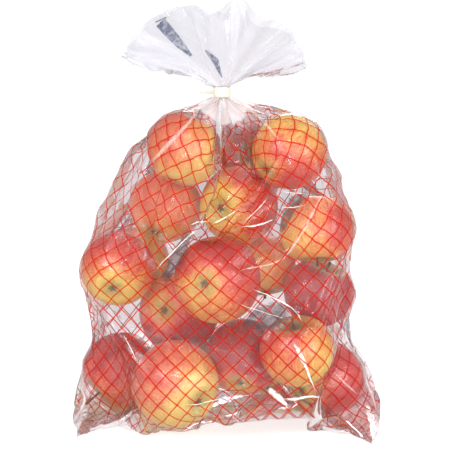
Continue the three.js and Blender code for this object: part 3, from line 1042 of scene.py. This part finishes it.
class Nodes:
    """A material's node tree, with short calls that add nodes and give their outputs."""

    def __init__(self, name):
        self.material = bpy.data.materials.new(name)
        self.material.use_nodes = True
        self.tree = self.material.node_tree
        self.tree.nodes.clear()

    def put(self, socket, value):
        """Sets a socket to a number or a colour, or links it to an output."""
        if isinstance(value, tuple):
            socket.default_value = (*value, 1)[: len(socket.default_value)]
        elif isinstance(value, (int, float)):
            socket.default_value = value
        elif value is not None:
            self.tree.links.new(value, socket)

    def new(self, kind, **sockets):
        node = self.tree.nodes.new("ShaderNode" + kind)
        for name, value in sockets.items():
            self.put(node.inputs[name.replace("_", " ")], value)
        return node

    def attribute(self, name, output="Fac"):
        node = self.new("Attribute")
        node.attribute_name = name
        return node.outputs[output]

    def position(self):
        return self.new("NewGeometry").outputs["Position"]

    def math(self, operation, first, second=None, clamp=False):
        node = self.new("Math")
        node.operation = operation
        node.use_clamp = clamp
        self.put(node.inputs[0], first)
        self.put(node.inputs[1], second)
        return node.outputs[0]

    def noise(self, vector, scale, detail=2.0, roughness=0.5, distortion=0.0):
        node = self.new(
            "TexNoise",
            Vector=vector, Scale=scale, Detail=detail, Roughness=roughness, Distortion=distortion,
        )
        return node.outputs["Fac"]

    def span(self, value, low, high, to_low=0.0, to_high=1.0):
        """A smooth step from to_low, where the value is low, to to_high."""
        node = self.new(
            "MapRange", Value=value, From_Min=low, From_Max=high, To_Min=to_low, To_Max=to_high
        )
        node.interpolation_type = "SMOOTHSTEP"
        return node.outputs["Result"]

    def ramp(self, value, stops):
        node = self.new("ValToRGB", Fac=value)
        elements = node.color_ramp.elements
        while len(elements) < len(stops):
            elements.new(0.5)
        for element, (place, colour) in zip(elements, stops):
            element.position = place
            element.color = (*colour, 1)
        return node.outputs["Color"]

    def mix(self, factor, first, second):
        node = self.new("Mix")
        node.data_type = "RGBA"
        for socket, value in zip((0, 6, 7), (factor, first, second)):
            self.put(node.inputs[socket], value)
        return node.outputs[2]

    def bump(self, height, distance, strength=1.0, normal=None):
        node = self.new("Bump", Distance=distance, Strength=strength, Height=height, Normal=normal)
        return node.outputs["Normal"]

    def principled(self, colour, roughness, normal=None, **plain):
        node = self.new(
            "BsdfPrincipled", Base_Color=colour, Roughness=roughness, Normal=normal, **plain
        )
        return node.outputs["BSDF"]

    def clear(self, colour=(1.0, 1.0, 1.0)):
        return self.new("BsdfTransparent", Color=colour).outputs["BSDF"]

    def mix_shader(self, factor, first, second):
        node = self.new("MixShader", Fac=factor)
        self.put(node.inputs[1], first)
        self.put(node.inputs[2], second)
        return node.outputs["Shader"]

    def finish(self, shader):
        self.new("OutputMaterial", Surface=shader)
        return self.material


def srgb(*seen):
    """A colour given as it is seen, 0 to 255, in the renderer's linear values."""
    return tuple(
        c / 12.92 if c <= 0.04045 else ((c + 0.055) / 1.055) ** 2.4
        for c in (s / 255 for s in seen)
    )


def seen_stops(*stops):
    return [(place, srgb(*colour)) for place, colour in stops]


def skin_material(name, kind, cover, shift):
    """Apple skin: blush in streaks over the ground colour, pale dots, russet at the stem."""
    n = Nodes(name)
    sun, polar, place = n.attribute("sun"), n.attribute("polar"), n.position()
    moved = n.new("VectorMath")
    n.put(moved.inputs[0], n.attribute("streak", "Vector"))
    n.put(moved.inputs[1], (shift, shift * 0.7, -shift))
    streak = moved.outputs["Vector"]
    broad = n.math("SUBTRACT", n.noise(streak, 2.2, 2, 0.5), 0.5)
    fine = n.math("SUBTRACT", n.noise(streak, 22, 3, 0.65), 0.5)
    hair = n.math("SUBTRACT", n.noise(streak, 70, 2, 0.6), 0.5)
    level = n.math("ADD", n.math("MULTIPLY", sun, 0.46), 0.5 + cover)
    for part, share in ((broad, 0.9), (fine, 1.0), (hair, 0.5)):
        level = n.math("ADD", level, n.math("MULTIPLY", part, share))
    level = n.math("SUBTRACT", level, n.span(polar, 0.66, 0.95, 0.0, 0.45))
    colour = n.ramp(level, seen_stops(*zip((0.12, 0.42, 0.68, 0.98), SKINS[kind])))
    cells = n.new("TexVoronoi", Scale=330, Vector=place)
    cavity = n.math("ADD", polar, n.math("MULTIPLY", fine, 0.12))
    for part, low, high, at_low, at_high, tone in (
        (cells.outputs["Distance"], 0.10, 0.20, 0.55, 0.0, (238, 205, 150)),  # dots
        (cavity, 0.07, 0.24, 0.85, 0.0, (176, 164, 84)),  # green round the stem
        (cavity, 0.03, 0.13, 0.9, 0.0, (132, 104, 52)),  # russet
        (cavity, 0.84, 0.95, 0.0, 0.75, (188, 172, 86)),  # the calyx basin
        (polar, 0.955, 0.99, 0.0, 0.9, (92, 78, 50)),  # and its dark middle
    ):
        colour = n.mix(n.span(part, low, high, at_low, at_high), colour, srgb(*tone))
    normal = n.bump(n.noise(place, 190, 2, 0.5), 0.25 * MM, 0.25)
    rough = n.span(n.noise(place, 60, 2), 0.3, 0.7, 0.30, 0.42)
    return n.finish(n.principled(colour, rough, normal, Coat_Weight=0.12, Coat_Roughness=0.25))


def grainy_material(name, scale, stops, roughness, depth, strength):
    """A matt surface with a fine grain: wood, dry leaves or paper."""
    n = Nodes(name)
    grain = n.noise(n.position(), scale, 3, 0.6)
    normal = n.bump(grain, depth, strength)
    return n.finish(n.principled(n.ramp(grain, seen_stops(*stops)), roughness, normal))


def film_material():
    """Clear polyethylene: glossy where it faces the light, milky where it is gathered."""
    n = Nodes("clear_film")
    flat, milk = n.attribute("flat", "Vector"), n.attribute("milk")
    normal = n.bump(n.noise(flat, 55, 3, 0.55, 0.6), 1.6 * MM, 0.35)
    normal = n.bump(n.noise(flat, 260, 2, 0.5, 0.3), 0.3 * MM, 0.25, normal)
    sides = n.new("SeparateXYZ")
    n.put(sides.inputs[0], flat)
    margin = n.span(n.math("ABSOLUTE", sides.outputs["X"]), 0.115, 0.150)
    margin = n.math("MAXIMUM", margin, n.span(sides.outputs["Y"], 0.03, 0.07, 1.0, 0.0))
    # The back panel is darker than the front, most away from the side margins: painted shade for
    # the gaps between the apples. Both panels are lighter at the side margins and along the
    # bottom.
    front = n.mix(margin, (0.81, 0.775, 0.785), (0.88, 0.85, 0.86))
    back = n.mix(margin, (0.67, 0.62, 0.635), (0.80, 0.765, 0.78))
    tint = n.mix(sides.outputs["Z"], front, back)
    tint = n.mix(n.span(milk, 0.1, 0.6), tint, (0.865, 0.86, 0.895))
    gathered = n.span(milk, 0.7, 1.0)
    haze = n.principled(n.mix(gathered, (0.60, 0.585, 0.62), (0.84, 0.80, 0.81)), 0.5, normal)
    cloud = n.span(n.noise(flat, 30, 3, 0.6), 0.25, 0.8, 0.75, 1.35)
    share = n.math("ADD", n.math("MULTIPLY", milk, 0.30), n.math("MULTIPLY", gathered, 0.2))
    share = n.math("MULTIPLY", n.math("ADD", share, 0.03), cloud, True)
    body = n.mix_shader(share, n.clear(tint), haze)
    gloss = n.new("BsdfGlossy", Color=(1.0, 1.0, 1.0), Roughness=0.14, Normal=normal)
    fresnel = n.new("Fresnel", IOR=1.48, Normal=normal)
    shine = n.math("MULTIPLY", fresnel.outputs["Fac"], 0.65, True)
    return n.finish(n.mix_shader(shine, body, gloss.outputs["BSDF"]))


def weld_material():
    n = Nodes("film_weld")
    grain = n.noise(n.position(), 400, 2)
    colour = n.ramp(grain, seen_stops((0.3, (226, 214, 218)), (0.7, (250, 246, 248))))
    solid = n.principled(colour, 0.3, n.bump(grain, 0.2 * MM, 0.4))
    return n.finish(n.mix_shader(0.7, n.clear(), solid))


def glare_fold_material(name, most):
    """Painted glare along a fold: white and shiny along the middle, clear at its edges."""
    n = Nodes(name)
    place, edge = n.position(), n.attribute("edge")
    ragged = n.math("ADD", edge, n.math("MULTIPLY", n.noise(place, 240, 4, 0.65, 0.8), 1.5))
    share = n.span(ragged, 0.65, 1.4, most, 0.0)
    stops = seen_stops((0.3, (250, 240, 228)), (0.7, (255, 252, 248)))
    colour = n.ramp(n.noise(place, 120, 2), stops)
    solid = n.principled(colour, 0.2, n.bump(n.noise(place, 300, 2), 0.3 * MM, 0.5))
    return n.finish(n.mix_shader(share, n.clear(), solid))


def gap_shade_material():
    """Painted shade in the gaps between the apples, drawn as several layers of film: still clear,
    but greyer than one.
    """
    n = Nodes("film_gap_shade")
    crumple = n.noise(n.position(), 150, 4, 0.65, 0.8)
    ragged = n.math("ADD", n.attribute("edge"), n.math("MULTIPLY", crumple, 1.1))
    share = n.span(ragged, 0.85, 1.5, 1.0, 0.0)
    # The dark filter colours are the painted shade
    layers = n.clear(n.ramp(crumple, [(0.35, (0.22, 0.16, 0.16)), (0.65, (0.54, 0.47, 0.48))]))
    haze = n.principled((0.5, 0.46, 0.47), 0.25, n.bump(crumple, 0.6 * MM, 0.5))
    return n.finish(n.mix_shader(share, n.clear(), n.mix_shader(0.1, layers, haze)))


def ink_material(name, low, high, cover, patchy, filtered=(0.6, 0.6, 0.6), thin=0.0):
    """Ink on the film, with small gaps in it. A thin share only filters what is behind."""
    n = Nodes(name)
    place = n.position()
    colour = n.ramp(n.noise(place, 500, 3, 0.6), seen_stops((0.3, low), (0.7, high)))
    solid = n.principled(colour, 0.5, Specular_IOR_Level=0.15)
    solid = n.mix_shader(thin, solid, n.clear(filtered))
    share = n.span(n.noise(place, 170, 4, 0.7, 1.5), 0.3, 0.62, cover - patchy, cover)
    return n.finish(n.mix_shader(share, n.clear(), solid))


def floor_material():
    n = Nodes("floor_pale")
    pale, paler = (0.33, 0.33, 0.33), (0.35, 0.35, 0.35)
    colour = n.ramp(n.noise(n.position(), 3), [(0.3, pale), (0.7, paler)])
    glow = {"Emission_Color": (1.0, 1.0, 1.0), "Emission_Strength": 0.74}
    return n.finish(n.principled(colour, 0.6, **glow))


# Stage


def make_camera():
    data = bpy.data.cameras.new("camera")
    data.sensor_width = SENSOR_WIDTH
    data.lens = SENSOR_WIDTH * CAMERA_DISTANCE / CAMERA_VIEW_WIDTH
    camera = add_object("camera", data)
    back = Vector((0, -math.cos(CAMERA_ELEVATION), math.sin(CAMERA_ELEVATION)))
    camera.location = CAMERA_TARGET + back * CAMERA_DISTANCE
    camera.rotation_euler = (-back).to_track_quat("-Z", "Y").to_euler()
    bpy.context.scene.camera = camera


def add_light(name, place, size, radiance):
    data = bpy.data.lights.new(name, "AREA")
    data.shape = "RECTANGLE"
    data.size, data.size_y = size
    data.energy = radiance * math.pi * size[0] * size[1]
    light = add_object(name, data)
    light.location = place
    way = Vector(LIGHTS_TARGET) - Vector(place)
    light.rotation_euler = way.to_track_quat("-Z", "Y").to_euler()


def add_stage():
    reach = FLOOR_REACH
    corners = [(-reach, -reach, 0), (reach, -reach, 0), (reach, reach, 0), (-reach, reach, 0)]
    floor = add_mesh("floor", corners, [(0, 1, 2, 3)])
    floor.data.materials.append(floor_material())
    # The backdrop is white, and the room that lights the bag and shines in the film is dimmer
    world = bpy.data.worlds.new("studio")
    world.use_nodes = True
    nodes, links = world.node_tree.nodes, world.node_tree.links
    seen = nodes.new("ShaderNodeLightPath")
    level = nodes.new("ShaderNodeMapRange")
    level.inputs["To Min"].default_value = ROOM_LIGHT
    level.inputs["To Max"].default_value = BACKDROP
    links.new(seen.outputs["Is Camera Ray"], level.inputs["Value"])
    nodes["Background"].inputs["Color"].default_value = (1, 1, 1, 1)
    links.new(level.outputs["Result"], nodes["Background"].inputs["Strength"])
    bpy.context.scene.world = world
    for light in LIGHTS:
        add_light(*light)
    bpy.context.scene.view_settings.view_transform = "Standard"


make_camera()
add_stage()
film_points = ridge_film(make_film())
film_map = FilmMap(film_points)
film = add_film(film_points)
extras = add_print(film_map) + add_welds_and_marks(film_map) + add_shade_and_glare_strips(film_points)
add_apples()
add_tie()
